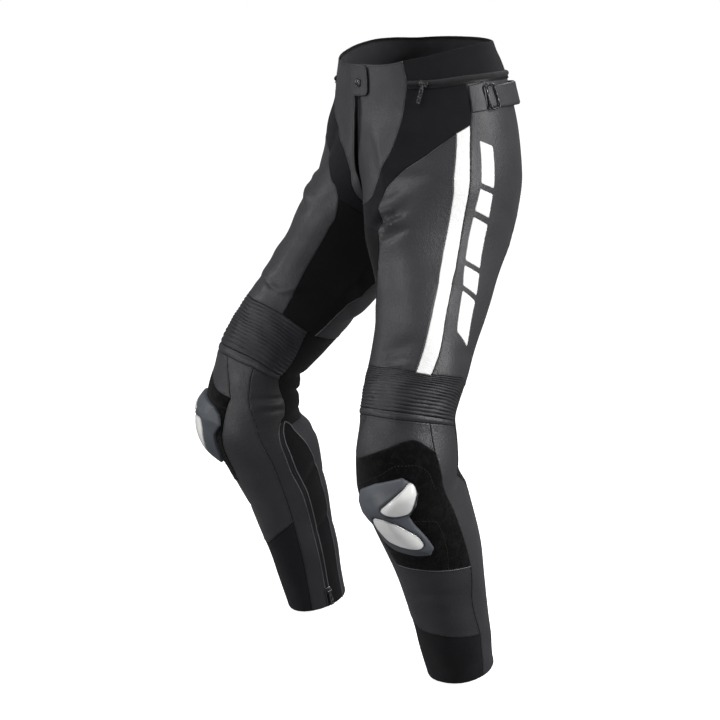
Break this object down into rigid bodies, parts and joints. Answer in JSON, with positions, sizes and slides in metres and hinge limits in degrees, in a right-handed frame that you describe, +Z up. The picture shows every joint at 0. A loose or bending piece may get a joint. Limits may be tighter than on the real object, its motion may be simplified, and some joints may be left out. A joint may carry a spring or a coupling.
{
  "type": "leather motorcycle trousers",
  "caption": "Worn leather riding trousers, open at waist and hems, with stretch panels, ribbed knees, hard knee sliders on hook pads, calf zips and waist adjusters.",
  "frame": {"origin": "the middle of the waist opening, where the wearer's waist holds the trousers up", "axes": "+Z up along the standing wearer, +X to the wearer's left, -Y to the wearer's front"},
  "size_m": [0.5544, 0.3855, 0.9318],
  "materials": {
    "leather": "semi-matt charcoal cowhide with a fine grain",
    "stretch": "matt black woven stretch fabric",
    "white_leather": "smooth white leather",
    "hook_pad": "black looped pile that the slider's hooks grip",
    "slider_plastic": "blue-grey moulded plastic, satin",
    "zip_tape": "black zip tape and moulded teeth",
    "metal": "black enamelled zinc alloy"
  },
  "bodies": {
    "trousers": {"front_panel_left": "leather", "front_panel_right": "leather", "waistband_left": "stretch", "waistband_right": "stretch", "hip_panel_left": "stretch", "hip_panel_right": "stretch", "thigh_front_left": "leather", "thigh_front_right": "leather", "stripe_left": "white_leather", "stripe_right": "white_leather", "thigh_side_left": "leather", "thigh_side_right": "leather", "seat_left": "leather", "seat_right": "leather", "inner_thigh_left": "stretch", "inner_thigh_right": "stretch", "ribs_left": "leather", "ribs_right": "leather", "welt_left": "leather", "welt_right": "leather", "knee_top_left": "leather", "knee_top_right": "leather", "knee_pad_left": "hook_pad", "knee_pad_right": "hook_pad", "knee_slider_left": "slider_plastic", "knee_slider_right": "slider_plastic", "shin_left": "leather", "shin_right": "leather", "side_strip_left": "leather", "side_strip_right": "leather", "cuff_left": "stretch", "cuff_right": "stretch", "calf_inner_left": "leather", "calf_inner_right": "leather", "calf_zip_left": "zip_tape", "calf_zip_right": "zip_tape", "calf_gusset_left": "stretch", "calf_gusset_right": "stretch", "calf_back_left": "leather", "calf_back_right": "leather", "knee_back_left": "stretch", "knee_back_right": "stretch", "waist_zip_left": "zip_tape", "waist_zip_right": "zip_tape", "strap_base_left": "leather", "strap_base_right": "leather", "strap_left": "leather", "strap_right": "leather", "strap_ring_left": "metal", "strap_ring_right": "metal", "calf_slider_left": "metal", "calf_slider_right": "metal", "fly_zip": "zip_tape", "snap_tab": "leather", "snap": "metal", "waist_slider": "metal"},
    "waist_pull_tab": {"waist_pull": "metal"},
    "calf_pull_left_tab": {"calf_pull_left": "metal"},
    "calf_pull_right_tab": {"calf_pull_right": "metal"}
  },
  "joints": [
    {"name": "waist_pull_hinge", "type": "hinge", "parent": "trousers", "child": "waist_pull_tab", "pos_m": [0.11353, -0.08229, -0.03776], "axis": [-0.7041, -0.6639, 0.252], "range_deg": [0, 150]},
    {"name": "calf_pull_hinge_left", "type": "hinge", "parent": "trousers", "child": "calf_pull_left_tab", "pos_m": [0.13843, -0.07447, -0.87611], "axis": [-0.055, 0.9632, 0.2633], "range_deg": [-8, 150]},
    {"name": "calf_pull_hinge_right", "type": "hinge", "parent": "trousers", "child": "calf_pull_right_tab", "pos_m": [-0.13812, -0.07678, -0.86766], "axis": [-0.0554, -0.9631, -0.2634], "range_deg": [-8, 150]}
  ]
}
